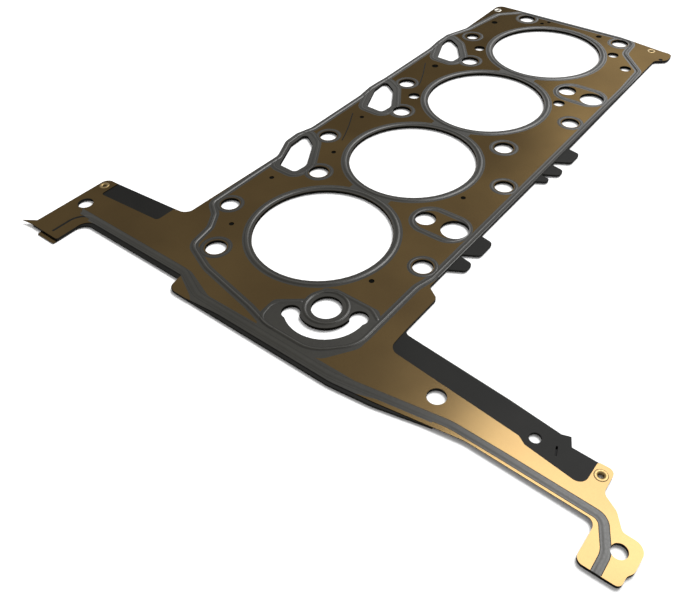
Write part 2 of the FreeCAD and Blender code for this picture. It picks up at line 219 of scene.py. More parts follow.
class Graph:
    """Builds the nodes of a material or of a shape."""

    def __init__(self, tree):
        self.tree = tree

    def node(self, kind, settings=(), inputs=(), output=0):
        made = self.tree.nodes.new(kind)
        for name, setting in dict(settings).items():
            setattr(made, name, setting)
        for key, given in dict(inputs).items():
            if isinstance(given, Value):
                self.tree.links.new(given.socket, made.inputs[key])
            else:
                made.inputs[key].default_value = given
        return Value(self, made.outputs[output]) if made.outputs else made

    def maths(self, operation, *values):
        return self.node("ShaderNodeMath", {"operation": operation}, dict(enumerate(values)))

    def clamp(self, value):
        return self.node("ShaderNodeClamp", {}, {"Value": value})

    def step(self, value, low, high):
        """0 below one value and 1 above another, with a soft change between them."""
        names = {"Value": value, "From Min": low, "From Max": high}
        return self.node("ShaderNodeMapRange", {"interpolation_type": "SMOOTHSTEP"}, names)

    def mix(self, share, first, second):
        """A colour between two."""
        return self.node("ShaderNodeMix", {"data_type": "RGBA"}, {0: share, 6: first, 7: second}, 2)

    def place(self):
        """The place on the object as x, y and z."""
        where = self.node("ShaderNodeTexCoord", output="Object")
        parts = self.tree.nodes.new("ShaderNodeSeparateXYZ")
        self.tree.links.new(where.socket, parts.inputs[0])
        return where, [Value(self, part) for part in parts.outputs]

    def noise(self, where, scale, detail):
        return self.node("ShaderNodeTexNoise", {}, {"Vector": where, "Scale": scale, "Detail": detail})


def new_material(name):
    """An empty material with its graph."""
    material = bpy.data.materials.new(name)
    material.use_nodes = True
    material.node_tree.nodes.clear()
    return material, Graph(material.node_tree)


def finish_surface(graph, **sockets):
    """Ends a material in one surface with the given values."""
    names = {key.replace("_", " "): given for key, given in sockets.items()}
    shader = graph.node("ShaderNodeBsdfPrincipled", {}, names)
    graph.node("ShaderNodeOutputMaterial", {}, {"Surface": shader})


def set_material(piece, material):
    """Gives a solid of the frame its finish by the object's own slot."""
    if not piece.material_slots:
        piece.data.materials.append(None)
    for slot in piece.material_slots:
        slot.link = "OBJECT"
        slot.material = material


def face_height(graph):
    """How far a face looks up: 1 on a top, 0 on a wall and -1 on an underside."""
    normal = graph.tree.nodes.new("ShaderNodeNewGeometry")
    parts = graph.tree.nodes.new("ShaderNodeSeparateXYZ")
    graph.tree.links.new(normal.outputs["True Normal"], parts.inputs[0])
    return Value(graph, parts.outputs[2])


def edge_faces(graph):
    """1 on walls and cut edges, 0 on the flats."""
    return 1.0 - graph.step(graph.maths("ABSOLUTE", face_height(graph)), 0.2, 0.5)


def upward_faces(graph):
    """1 on the top of a sheet, 0 elsewhere."""
    return graph.step(face_height(graph), 0.2, 0.5)


def bronze_coat(name, colours, shade_below=None):
    """Satin bronze lacquer over steel, a little uneven, with painted shade: near-black cut edges, and near
    black on its top where it lies under the carrier.
    """
    material, graph = new_material(name)
    where, (_, y, _) = graph.place()
    cloud = graph.noise(where, 14.0, 3.0)
    grain = graph.noise(where, FINE_GRAIN, 2.0)
    share = graph.step(cloud, 0.25, 0.75) * 0.9 + graph.step(grain, 0.3, 0.7) * 0.1
    coat = graph.mix(share, (*colours.coat_dark, 1.0), (*colours.coat_light, 1.0))
    # Painted shade: walls and cut edges are near black, standing in for the shade on the walls seen in
    # holes and along the front edges.
    colour = graph.mix(edge_faces(graph), coat, (*colours.cut_edge, 1.0))
    # Painted shade: the top faces below the given y are painted near black where the carrier lies over
    # them.
    if shade_below is not None:
        covered = upward_faces(graph) * (1.0 - graph.step(y, shade_below, shade_below + MM))
        colour = graph.mix(covered, colour, (*colours.covered, 1.0))
    rough = graph.step(cloud, 0.2, 0.8) * 0.02 + 0.21
    bump = graph.node("ShaderNodeBump", {}, {"Strength": 0.01, "Distance": 0.0001, "Height": grain})
    finish_surface(graph, Base_Color=colour, Metallic=1.0, Roughness=rough, Normal=bump,
                   Specular_Tint=(*colours.coat_sheen, 1.0))
    return material


def grey_print(colours):
    """Matt rubber print with a painted highlight: paler where a bead lifts it."""
    material, graph = new_material("grey_print")
    where, (_, _, z) = graph.place()
    speck = graph.noise(where, FINE_GRAIN, 3.0)
    cloud = graph.noise(where, 25.0, 2.0)
    # Painted highlight: the print turns paler towards a bead's crest.
    crest = graph.step(z, (TOP_Z + 0.15) * MM, CREST_Z * MM)
    plain = graph.mix(graph.step(cloud, 0.3, 0.7), (*colours.print_dark, 1.0), (*colours.print_grey, 1.0))
    colour = graph.mix(crest * 0.6, plain, (*colours.print_crest, 1.0))
    rough = graph.step(speck, 0.2, 0.8) * 0.06 + 0.29
    bump = graph.node("ShaderNodeBump", {}, {"Strength": 0.05, "Distance": 0.0002, "Height": speck})
    finish_surface(graph, Base_Color=colour, Roughness=rough, Normal=bump, Specular_IOR_Level=0.24)
    return material


def dark_finish(name, first, second, gloss):
    """A dull dark finish, speckled between two tones."""
    material, graph = new_material(name)
    where, _ = graph.place()
    share = graph.step(graph.noise(where, FINE_GRAIN, 3.0), 0.3, 0.7)
    colour = graph.mix(share, (*first, 1.0), (*second, 1.0))
    rough = share * 0.08 + 0.5
    finish_surface(graph, Base_Color=colour, Roughness=rough, Specular_IOR_Level=gloss)
    return material


def black_coat(colours):
    """Black coat of the carrier, satin where it lies open and dull under the upper sheet."""
    material, graph = new_material("black_coat")
    where, (x, y, _) = graph.place()
    speck = graph.noise(where, 700.0, 3.0)
    cloud = graph.noise(where, 40.0, 3.0)
    share = graph.step(cloud, 0.35, 0.75) * 0.6
    colour = graph.mix(share, (*colours.carrier_black, 1.0), (*colours.carrier_grey, 1.0))
    beside = graph.step(graph.maths("ABSOLUTE", y), (RIGHT_EDGE - 2.0) * MM, (RIGHT_EDGE - 1.0) * MM)
    ahead = graph.step(0.0 - x, (LEFT_ARM_STEM - 6.0) * MM, (LEFT_ARM_STEM - 5.0) * MM)
    open_part = graph.maths("MAXIMUM", beside, ahead)
    rough = graph.step(speck, 0.2, 0.8) * 0.08 + 0.5
    finish_surface(graph, Base_Color=colour, Roughness=rough, Specular_IOR_Level=0.0,
                   Coat_Weight=open_part * 0.17, Coat_Roughness=0.5)
    return material


def bare_metal(name, colour, front_colour, roughness):
    """Plain metal of an eyelet, with fine marks of the press; only the far left one is left bright."""
    material, graph = new_material(name)
    where, (x, y, _) = graph.place()
    mark = graph.noise(where, 1500.0, 2.0)
    bright = graph.step(x, 0.0, PITCH * MM) * graph.step(y, -10.0 * MM, 10.0 * MM)
    tone = graph.mix(bright, (*front_colour, 1.0), (*colour, 1.0))
    worn = (*(0.6 * c for c in front_colour), 1.0)
    shade = graph.mix(graph.step(mark, 0.3, 0.7) * 0.3, tone, worn)
    rough = graph.step(mark, 0.2, 0.8) * 0.1 + roughness
    finish_surface(graph, Base_Color=shade, Metallic=1.0, Roughness=rough)
    return material


def corner_arc(before, here, after, radius):
    """Points of the tangent arc at one corner, no larger than its runs."""
    back = before - here
    ahead = after - here
    room = 0.49 * min(back.length, ahead.length)
    back.normalize()
    ahead.normalize()
    half = math.acos(max(-1.0, min(1.0, back.dot(ahead)))) / 2
    if radius == 0 or half > math.radians(89.8):
        return [here]
    reach = min(radius / math.tan(half), room)
    radius = reach * math.tan(half)
    centre = here + (back + ahead).normalized() * (radius / math.sin(half))
    spoke = here + back * reach - centre
    turn = math.pi - 2 * half
    if back.x * ahead.y - back.y * ahead.x > 0:
        turn = -turn
    steps = max(2, math.ceil(abs(turn) / ARC_STEP))
    return [centre + Matrix.Rotation(turn * i / steps, 2) @ spoke for i in range(steps + 1)]


def path_points(corners, closed):
    """Points (x, y) of straight runs and tangent arcs through corner points (x, y, radius)."""
    spots = [Vector(corner[:2]) for corner in corners]
    found = []
    for i, (_, _, radius) in enumerate(corners):
        if closed or 0 < i < len(corners) - 1:
            found += corner_arc(spots[i - 1], spots[i], spots[(i + 1) % len(spots)], radius)
        else:
            found.append(spots[i])
    return found


def circle(x, y, radius):
    """Points (x, y) round a full circle."""
    count = max(24, math.ceil(2 * math.pi / ARC_STEP * min(1.0, radius / 20)))
    angles = [2 * math.pi * i / count for i in range(count)]
    return [Vector((x + radius * math.cos(a), y + radius * math.sin(a))) for a in angles]


def left_edge(inset):
    """A line inside the long left edge, which swells over each slanted port."""
    y = LEFT_EDGE - inset
    return [
        (45.5, y, 10.0),
        (62.0, y + FIRST_BULGE - 0.4, 8.0),
        (74.0, y + FIRST_BULGE, 8.0),
        (86.0, y + BULGE - 1.2, 10.0),
        (PITCH + 47.0, y + BULGE - 1.8, 10.0),
        (PITCH + 62.0, y + BULGE, 8.0),
        (PITCH + 80.0, y + BULGE - 1.2, 10.0),
        (2 * PITCH + 47.0, y + BULGE - 1.8, 10.0),
        (2 * PITCH + 62.0, y + BULGE, 8.0),
        (2 * PITCH + 76.0, y + BULGE, 8.0),
        (3 * PITCH + 2.0, y - 1.2, 9.0),
    ]


def seal_path():
    """The bead that closes off the crankcase, just inside the edge and round both ends."""
    right = -RIGHT_EDGE + SEAL_INSET
    rear = REAR_EDGE - SEAL_INSET + 0.3
    return [
        (-25.0, 65.0, 8.0),
        (-36.0, 58.0, 12.0),
        (-54.0, 54.8, 9.0),
        (-63.0, 33.0, 30.0),
        (-71.0, -8.0, 40.0),
        (-75.5, -24.0, 20.0),
        (-75.5, -55.0, 20.0),
        (-59.0, right + 2.9, 18.0),
        (-6.0, right + 2.9, 15.0),
        (5.0, right, 15.0),
        (2 * PITCH + 72.0, right, 15.0),
        (3 * PITCH + 10.0, right + 1.4, 8.0),
        (3 * PITCH + 32.0, -BOLT_Y - 10.5, 12.0),
        (rear, -BOLT_Y - 8.9, 9.0),
        (rear, BOLT_Y + 10.0, 8.0),
        (rear - 15.0, LEFT_EDGE - 9.3, 10.0),
        *left_edge(SEAL_INSET)[::-1],
        (-18.0, LEFT_EDGE - 1.7, 7.0),
    ]


def arm_path():
    """The bead along the front edge and both arms, which seals the timing case."""
    end = -RIGHT_ARM_END
    return [
        (-LEFT_ARM_TIP + 4.0, LEFT_ARM_END - 17.0, 0),
        (-LEFT_ARM_STEM + 3.4, LEFT_ARM_END - 17.0, 12.0),
        (-LEFT_ARM_STEM + 3.4, 42.0, 15.0),
        (-FRONT_EDGE + 4.0, 22.0, 15.0),
        (-FRONT_EDGE + 3.5, -SHOULDER + 12.0, 40.0),
        (-RIGHT_ARM_STEM + 3.6, end + 92.0, 40.0),
        (-RIGHT_ARM_STEM + 3.2, end + 65.0, 40.0),
        (-RIGHT_ARM_STEM + 1.8, end + 17.5, 6.0),
        (-RIGHT_ARM_TIP + 10.0, end + 10.2, 12.0),
        (-RIGHT_ARM_TIP + 0.1, end + 10.0, 0),
    ]


def port_loop(index, out):
    """A loop a little outside the slanted port beside one cylinder."""
    x = index * PITCH + 38.0
    y = LEFT_EDGE - (14.2 if index else 12.6)
    reach = (39.5, 38.0, 34.5)[index]
    return [
        (x - 0.5 - out, y - 9.5 - out, 3.0 + out),
        (x - out, y + 4.5 + 0.6 * out, 2.5 + out),
        (x + 23.0 - 0.3 * out, y + 14.2 + out, 4.0 + out),
        (x + reach + 1.6 * out, y + 14.8 + out, 2.5 + out),
        (x + reach - 8.0 + 1.1 * out, y + 2.0 - 0.3 * out, 10.0 + out),
        (x + 10.0 + 0.3 * out, y - 10.7 - out, 8.0 + out),
    ]


def seal_lines():
    """Full beads of the crankcase seal and the sleeve hole, as (points, closed, half width of print)."""
    return [
        (path_points(seal_path(), True), True, SEAL_PRINT),
        (circle(*SLEEVE, (SLEEVE_R + SLOT_INNER_R) / 2), True, SLEEVE_PRINT),
    ]


def rounded_box(x, y, half_x, half_y, radius):
    """The corner points of an upright box with round corners."""
    sides = ((-1, 1), (1, 1), (1, -1), (-1, -1))
    return [(x + half_x * a, y + half_y * b, radius) for a, b in sides]


def loop_lines():
    """Lower beads round the slanted ports and the return holes, and beside the curved slot."""
    loops = [port_loop(index, LOOP_OUT) for index in range(len(BORES) - 1)]
    loops += [rounded_box(x, -52.4, 11.4, 17.9, 11.3) for x in PAIR_X]
    slot_end = [(-75.2, -28.0, 0), (-74.0, -18.0, 9.0), (-61.0, -16.0, 7.0), (-51.5, -28.0, 0)]
    slot_side = [(-37.5, -34.0, 0), (-34.0, -38.0, 5.0), (-34.0, -62.0, 8.0), (-38.0, -69.0, 0)]
    lines = [(path_points(loop, True), True, LOOP_PRINT) for loop in loops]
    lines += [(path_points(side, False), False, SLOT_SIDE_PRINT) for side in (slot_end, slot_side)]
    return lines


def ring_lines():
    """Low beads round bolt and drain holes, and the rolled rim of the right edge."""
    bolts = [(x, side * BOLT_Y) for side in (-1, 1) for x in BOLT_X]
    plain = [bolt for bolt in bolts if bolt != SLEEVE and bolt not in PAIR_BOLTS]
    lines = [(circle(x, y, BOLT_RING), True, BOLT_PRINT) for x, y in plain]
    lines += [(circle(x, y, DRAIN_RING), True, DRAIN_PRINT) for x, y in DRAINS]
    rim = -RIGHT_EDGE + RIM_INSET
    lines.append(([Vector((8.0, rim)), Vector((2 * PITCH + 68.0, rim))], False, RIM_PRINT))
    return lines


def dark_lines():
    """Painted shade of two shallow wave beads beside two of the ports, drawn as thin dark marks on the flat
    with no relief, as (points, closed, half width).
    """
    lines = []
    for x in (0.0, PITCH):
        mark = [
            (x + 85.0, 53.0, 0),
            (x + 92.0, 55.8, 20.0),
            (x + 103.0, 61.0, 20.0),
            (x + 118.0, 69.2, 0),
        ]
        lines.append((path_points(mark, False), False, MARK_REACH))
    return lines


def arm_lines():
    """The low, wide bead of the front edge and both arms, whose print is a band of its own."""
    return [(path_points(arm_path(), False), False, 0)]


def bore_lines():
    """The wide beads round the bores."""
    return [(circle(x, y, BORE_RING), True, BORE_PRINT) for x, y in BORES]


def plain_prints():
    """The band of print from the left arm's stem to the right arm's tip."""
    return [(path_points(arm_path()[1:], False), False, ARM_PRINT)]


def web_prints():
    """Prints that join the rings of two bores on the web between them."""
    middles = [(BORES[i][0] + BORES[i + 1][0]) / 2 for i in range(len(BORES) - 1)]
    return [rounded_box(x, 0.0, 3.0, 15.0, 2.0) for x in middles]


def offset_line(points, closed, distance):
    """A line beside a path of points, at an even distance to its left."""
    spots = np.array([(p[0], p[1]) for p in points])
    if closed:
        before, after = np.roll(spots, 1, 0), np.roll(spots, -1, 0)
    else:
        before = np.vstack([2 * spots[0] - spots[1], spots[:-1]])
        after = np.vstack([spots[1:], 2 * spots[-1] - spots[-2]])
    back = spots - before
    ahead = after - spots
    back /= np.linalg.norm(back, axis=1)[:, None]
    ahead /= np.linalg.norm(ahead, axis=1)[:, None]
    across = np.stack([-(back + ahead)[:, 1], (back + ahead)[:, 0]], 1)
    across /= np.linalg.norm(across, axis=1)[:, None]
    lean = np.maximum(0.5, across[:, 0] * -back[:, 1] + across[:, 1] * back[:, 0])
    return spots + across * (distance / lean)[:, None]


def distance_to(points, closed, places):
    """Distance of each place to a path of points."""
    spots = np.array([(p[0], p[1]) for p in points])
    ends = np.roll(spots, -1, 0) if closed else spots[1:]
    starts = spots if closed else spots[:-1]
    nearest = np.full(len(places), np.inf)
    for start, end in zip(starts, ends):
        along = end - start
        share = np.clip(((places - start) @ along) / (along @ along), 0.0, 1.0)
        gap = np.linalg.norm(places - start - share[:, None] * along, axis=1)
        nearest = np.minimum(nearest, gap)
    return nearest


def within(outline, places):
    """Whether each place lies inside a closed outline of points."""
    spots = np.array([(p[0], p[1]) for p in outline])
    inside = np.zeros(len(places), bool)
    for (ax, ay), (bx, by) in zip(spots, np.roll(spots, -1, 0)):
        spans = (ay > places[:, 1]) != (by > places[:, 1])
        if ay != by:
            inside ^= spans & (places[:, 0] < (bx - ax) * (places[:, 1] - ay) / (by - ay) + ax)
    return inside


class SheetPlan:
    """The plan of one sheet in millimetres: its solid's outline and holes, with lines to fold at."""

    def __init__(self, node):
        self.spots = []
        self.edges = []
        work = bmesh.new()
        work.from_mesh(NODES[node].data)
        bmesh.ops.remove_doubles(work, verts=work.verts, dist=1e-6)
        work.verts.index_update()
        tops = [face for face in work.faces if face.normal.z > 0.5]
        chosen = set(tops)
        flat = [Vector((v.co.x / MM, v.co.y / MM, 0.0)) for v in work.verts]
        self.ground = BVHTree.FromPolygons(flat, [[v.index for v in face.verts] for face in tops])
        for edge in work.edges:
            if sum(face in chosen for face in edge.link_faces) == 1:
                self.add_line([flat[v.index].to_2d() for v in edge.verts], False)
        work.free()

    def add_line(self, points, closed):
        first = len(self.spots)
        self.spots += [Vector((p[0], p[1])) for p in points]
        self.edges += [(first + i, first + i + 1) for i in range(len(points) - 1)]
        if closed:
            self.edges.append((first + len(points) - 1, first))

    def add_bead(self, line, width):
        """Fold lines across a bead, a guard line beside its feet, and the edges of its print."""
        points, closed, reach = line
        half = width / 2
        self.add_line(points, closed)
        for away in [share * half for share in BEAD_SHARES] + [half + BEAD_GUARD]:
            self.add_sides(points, closed, away)
            if not closed:
                self.add_line(circle(*points[0], away), True)
                self.add_line(circle(*points[-1], away), True)
        if reach:
            self.add_sides(points, closed, reach)

    def add_sides(self, points, closed, away):
        """A line on each side of a path."""
        for side in (-1, 1):
            self.add_line(offset_line(points, closed, side * away), closed)

    def triangles(self):
        """Places and triangles inside the sheet."""
        spots, _, faces, *_ = delaunay_2d_cdt(self.spots, self.edges, [], 0, 1e-4)
        kept = []
        for face in faces:
            middle = sum((spots[i] for i in face), Vector((0, 0))) / 3
            if self.ground.ray_cast(Vector((*middle, 1.0)), Vector((0, 0, -1)))[0]:
                kept.append(tuple(face))
        return spots, kept


def sheet_mesh(name, plan, top_z):
    """A flat sheet of even thickness from its plan, and the middles of its top faces in millimetres."""
    spots, faces = plan.triangles()
    used = sorted({i for face in faces for i in face})
    number = {old: new for new, old in enumerate(used)}
    count = len(used)
    verts = [(spots[i].x * MM, spots[i].y * MM, top_z * MM) for i in used]
    verts += [(x, y, (top_z - SHEET_T) * MM) for x, y, _ in verts]
    top = [tuple(number[i] for i in face) for face in faces]
    sides = {}
    for a, b, c in top:
        for edge in ((a, b), (b, c), (c, a)):
            sides[edge] = edge[::-1] not in sides
            if not sides[edge]:
                sides[edge[::-1]] = False
    walls = [(b, a, a + count, b + count) for (a, b), free in sides.items() if free]
    bottom = [(c + count, b + count, a + count) for a, b, c in top]
    every = top + bottom + walls
    mesh = bpy.data.meshes.new(name)
    mesh.from_pydata(verts, [], every)
    smooth = np.ones(len(every), bool)
    smooth[2 * len(top):] = False
    mesh.polygons.foreach_set("use_smooth", smooth)
    flat = np.array([v[:2] for v in verts]) / MM
    return link_object(name, mesh), flat[np.array(top)].mean(1)


def store_finishes(mesh, found):
    """Keeps a finish number on each face; the faces after the given ones get the coat."""
    finishes = np.zeros(len(mesh.polygons), np.int32)
    finishes[: len(found)] = found
    stored = mesh.attributes.new("finish", "INT", "FACE")
    stored.data.foreach_set("value", finishes)


def finish_numbers(places, families, patches):
    """The finish of each place on the upper sheet, from its beads, bands and wide prints."""
    found = np.full(len(places), COAT, np.int32)
    for outline in patches:
        found[within(outline, places)] = PRINT
    for points, closed, reach in sum((lines for lines, _, _ in families), plain_prints()):
        found[distance_to(points, closed, places) < reach] = PRINT
    for lines, width, _ in families:
        half = width / MM / 2
        for points, closed, reach in lines:
            away = distance_to(points, closed, places)
            if reach:
                # Painted shade: along a bead's feet the print is made darker, partly a darker print edge
                # and partly painted shade of the foot.
                foot = (away > 0.8 * half) & (away < half + BEAD_GUARD)
                found[foot & (found == PRINT)] = PRINT_EDGE_AND_SHADE
            else:
                # Painted shade: the middle of a bead over bare coat is painted near black, as the shade of
                # a crease.
                found[(away < BEAD_SHARES[1] * half) & (found == COAT)] = CREASE_SHADE
    for points, closed, reach in plain_prints():
        away = distance_to(points, closed, places)
        found[(away > reach - BEAD_GUARD) & (away < reach)] = PRINT_EDGE_AND_SHADE
    # Painted shade: the dark marks beside the ports.
    for points, closed, reach in dark_lines():
        found[distance_to(points, closed, places) < reach] = CREASE_SHADE
    return found


def line_object(name, lines):
    """The centre lines of a family of beads as one object of edges, for the embossing."""
    points = []
    edges = []
    for spots, closed, _ in lines:
        first = len(points)
        points += [(p[0] * MM, p[1] * MM, 0.0) for p in spots]
        edges += [(first + i, first + i + 1) for i in range(len(spots) - 1)]
        if closed:
            edges.append((first + len(spots) - 1, first))
    mesh = bpy.data.meshes.new(name)
    mesh.from_pydata(points, edges, [])
    return link_object(name, mesh)


def add_sockets(tree, sockets):
    """The named inputs of a shape's tree, and its output."""
    face = tree.interface
    face.new_socket("Geometry", in_out="INPUT", socket_type="NodeSocketGeometry")
    for name, kind in sockets.items():
        face.new_socket(name, in_out="INPUT", socket_type="NodeSocket" + kind)
    face.new_socket("Geometry", in_out="OUTPUT", socket_type="NodeSocketGeometry")


def shape_graph(name, sockets):
    """A new shape tree with its inputs by name."""
    tree = bpy.data.node_groups.new(name, "GeometryNodeTree")
    add_sockets(tree, sockets)
    graph = Graph(tree)
    given = tree.nodes.new("NodeGroupInput")
    return tree, graph, {socket.name: Value(graph, socket) for socket in given.outputs}


def press_tree():
    """Presses a flat sheet into beads along centre lines, then gives coat and prints their finish."""
    sockets = {"Lines": "Object", "Width": "Float", "Height": "Float"}
    sockets.update({name: "Material" for name in ("Coat", *PRINTS)})
    tree, graph, given = shape_graph("Pressed beads", sockets)
    lines = graph.node("GeometryNodeObjectInfo", {}, {"Object": given["Lines"]}, "Geometry")
    here = graph.node("GeometryNodeInputPosition")
    plan = graph.node("ShaderNodeVectorMath", {"operation": "MULTIPLY"}, {0: here, 1: (1.0, 1.0, 0.0)})
    near = {"Geometry": lines, "Sample Position": plan}
    away = graph.node("GeometryNodeProximity", {"target_element": "EDGES"}, near, "Distance")
    share = graph.clamp(away / (given["Width"] * 0.5))
    rise = (graph.maths("COSINE", share * math.pi) + 1.0) * 0.5 * given["Height"]
    before = graph.node("GeometryNodeInputNamedAttribute", {"data_type": "FLOAT"}, {"Name": "rise"})
    highest = graph.maths("MAXIMUM", rise, before)
    lift = graph.node("ShaderNodeCombineXYZ", {}, {"Z": highest - before})
    pressed = graph.node("GeometryNodeSetPosition", {}, {"Geometry": given["Geometry"], "Offset": lift})
    kept = {"Geometry": pressed, "Name": "rise", "Value": highest}
    stored = graph.node("GeometryNodeStoreNamedAttribute", {"data_type": "FLOAT", "domain": "POINT"}, kept)
    real = graph.node("GeometryNodeRealizeInstances", {}, {"Geometry": stored})
    done = graph.node("GeometryNodeSetMaterial", {}, {"Geometry": real, "Material": given["Coat"]})
    finish = graph.node("GeometryNodeInputNamedAttribute", {"data_type": "INT"}, {"Name": "finish"})
    same = {"data_type": "INT", "operation": "EQUAL"}
    for number, name in enumerate(PRINTS, PRINT):
        chosen = graph.node("FunctionNodeCompare", same, {2: finish, 3: number})
        picked = {"Geometry": done, "Selection": chosen, "Material": given[name]}
        done = graph.node("GeometryNodeSetMaterial", {}, picked)
    graph.node("NodeGroupOutput", {}, {"Geometry": done})
    return tree


def bake_shape(piece, tree, values):
    """Runs a shape tree on a piece with the given named inputs, and keeps the result as its mesh."""
    modifier = piece.modifiers.new(tree.name, "NODES")
    modifier.node_group = tree
    names = {item.name: item.identifier for item in tree.interface.items_tree if item.in_out == "INPUT"}
    for name, value in values.items():
        modifier[names[name]] = value
    bpy.context.view_layer.update()
    shaped = piece.evaluated_get(bpy.context.evaluated_depsgraph_get())
    mesh = bpy.data.meshes.new_from_object(shaped)
    piece.modifiers.remove(modifier)
    old = piece.data
    piece.data = mesh
    bpy.data.meshes.remove(old)
    mesh.name = piece.name
    return piece


def turned_mesh(name, profile):
    """A closed ring round the z axis from its profile of (radius, height) corners in millimetres."""
    verts = []
    faces = []
    count = len(profile)
    for i in range(RING_STEPS):
        angle = 2 * math.pi * i / RING_STEPS
        verts += [(r * MM * math.cos(angle), r * MM * math.sin(angle), z * MM) for r, z in profile]
        here, ahead = i * count, (i + 1) % RING_STEPS * count
        for j in range(count):
            k = (j + 1) % count
            faces.append((here + j, here + k, ahead + k, ahead + j))
    mesh = bpy.data.meshes.new(name)
    mesh.from_pydata(verts, [], faces)
    mesh.polygons.foreach_set("use_smooth", np.ones(len(faces), bool))
    mesh.set_sharp_from_angle(angle=math.radians(50.0))
    return mesh


def eyelet_profile(node):
    """Half section of a tube rivet whose ends are rolled over both outer sheets."""
    low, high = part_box(node)
    outer = (high.x - low.x) / 2 / MM
    bottom, top = low.z / MM, high.z / MM
    roll = top - TOP_Z
    ridge = EYELET_BORE_R + RIDGE_SHARE * (outer - EYELET_BORE_R)
    lip = ridge - EYELET_BORE_R
    quarter = [math.pi / 2 * i / ROLL_STEPS for i in range(ROLL_STEPS + 1)]
    over = [((outer - ridge) * math.cos(a) + ridge, roll * math.sin(a)) for a in quarter]
    over += [(ridge - lip * math.sin(a), roll - LIP_DROP * (1 - math.cos(a))) for a in quarter[1:]]
    upper = [(r, TOP_Z + z) for r, z in over]
    lower = [(r, bottom + roll - z) for r, z in over[::-1]]
    return upper + lower + [(EYELET_TUBE_R, 0.0), (EYELET_TUBE_R, TOP_Z)]


def eyelet_tree():
    """A ring on each point, in one metal."""
    tree, graph, given = shape_graph("Rolled eyelets", {"Ring": "Object", "Metal": "Material"})
    ring = graph.node("GeometryNodeObjectInfo", {}, {"Object": given["Ring"]}, "Geometry")
    placed = {"Points": given["Geometry"], "Instance": ring}
    rings = graph.node("GeometryNodeInstanceOnPoints", {}, placed)
    real = graph.node("GeometryNodeRealizeInstances", {}, {"Geometry": rings})
    done = graph.node("GeometryNodeSetMaterial", {}, {"Geometry": real, "Material": given["Metal"]})
    graph.node("NodeGroupOutput", {}, {"Geometry": done})
    return tree


def link_object(name, mesh):
    """A new object of a mesh, in the scene."""
    piece = bpy.data.objects.new(name, mesh)
    bpy.context.scene.collection.objects.link(piece)
    return piece


def even_normals(mesh):
    """Smooth normals weighted by area, so that flats stay flat beside a bead and walls stay sharp."""
    count = len(mesh.polygons)
    normals = np.zeros(count * 3)
    mesh.polygon_normals.foreach_get("vector", normals)
    normals = normals.reshape(-1, 3)
    areas = np.zeros(count)
    mesh.polygons.foreach_get("area", areas)
    smooth = np.zeros(count, bool)
    mesh.polygons.foreach_get("use_smooth", smooth)
    corners = np.zeros(count, np.int32)
    mesh.polygons.foreach_get("loop_total", corners)
    face_of = np.repeat(np.arange(count), corners)
    vert_of = np.zeros(len(mesh.loops), np.int32)
    mesh.loops.foreach_get("vertex_index", vert_of)
    sums = np.zeros((len(mesh.vertices), 3))
    weights = (areas * smooth)[face_of, None] * normals[face_of]
    np.add.at(sums, vert_of, weights)
    lengths = np.linalg.norm(sums, axis=1)
    sums[lengths > 0] /= lengths[lengths > 0, None]
    chosen = np.where(smooth[face_of, None], sums[vert_of], normals[face_of])
    mesh.normals_split_custom_set(chosen)


class GasketColours(bpy.types.PropertyGroup):
    """Colours of the finishes."""

    coat_dark: bpy.props.FloatVectorProperty(
        name="Coat, dark", description="Darker tone of the bronze coat", subtype="COLOR",
        default=(0.066, 0.044, 0.020))
    coat_light: bpy.props.FloatVectorProperty(
        name="Coat, light", description="Lighter tone of the bronze coat", subtype="COLOR",
        default=(0.090, 0.060, 0.0255))
    coat_sheen: bpy.props.FloatVectorProperty(
        name="Coat, sheen", description="Tint of the coat seen at a slant", subtype="COLOR",
        default=(0.44, 0.46, 0.48))
    # Painted shade: near black on the sheets' cut edges, for the shade on the walls.
    cut_edge: bpy.props.FloatVectorProperty(
        name="Cut edge", description="Colour of the sheets' cut edges", subtype="COLOR",
        default=(0.02, 0.018, 0.015))
    # Painted shade: near black for the lower sheet's top where the carrier covers it; also the darkest tone
    # of the painted crease shade.
    covered: bpy.props.FloatVectorProperty(
        name="Covered", description="Tone of the lower sheet where the carrier covers it", subtype="COLOR",
        default=(0.002, 0.002, 0.002))
    print_dark: bpy.props.FloatVectorProperty(
        name="Print, dark", description="Darker tone of the grey print", subtype="COLOR",
        default=(0.011, 0.0102, 0.0074))
    print_grey: bpy.props.FloatVectorProperty(
        name="Print, grey", description="Lighter tone of the grey print", subtype="COLOR",
        default=(0.017, 0.0158, 0.0115))
    # Painted highlight: the paler tone of the print on a bead's crest.
    print_crest: bpy.props.FloatVectorProperty(
        name="Print, crest", description="Tone of the print on a bead's crest", subtype="COLOR",
        default=(0.022, 0.0208, 0.0165))
    # Partly painted shade: the darker print along a bead's foot; it is also the lighter tone of the painted
    # crease shade.
    foot_dark: bpy.props.FloatVectorProperty(
        name="Print, foot", description="Dark tone of the print along a bead's foot", subtype="COLOR",
        default=(0.007, 0.0066, 0.0052))
    carrier_black: bpy.props.FloatVectorProperty(
        name="Carrier, black", description="Darker tone of the carrier", subtype="COLOR",
        default=(0.005, 0.0049, 0.0042))
    carrier_grey: bpy.props.FloatVectorProperty(
        name="Carrier, worn", description="Lighter tone of the carrier", subtype="COLOR",
        default=(0.009, 0.0087, 0.0075))
    brass: bpy.props.FloatVectorProperty(
        name="Brass", description="Colour of the brass eyelet", subtype="COLOR",
        default=(0.19, 0.135, 0.06))
    plated: bpy.props.FloatVectorProperty(
        name="Plated steel", description="Colour of the plated eyelets", subtype="COLOR",
        default=(0.36, 0.345, 0.31))


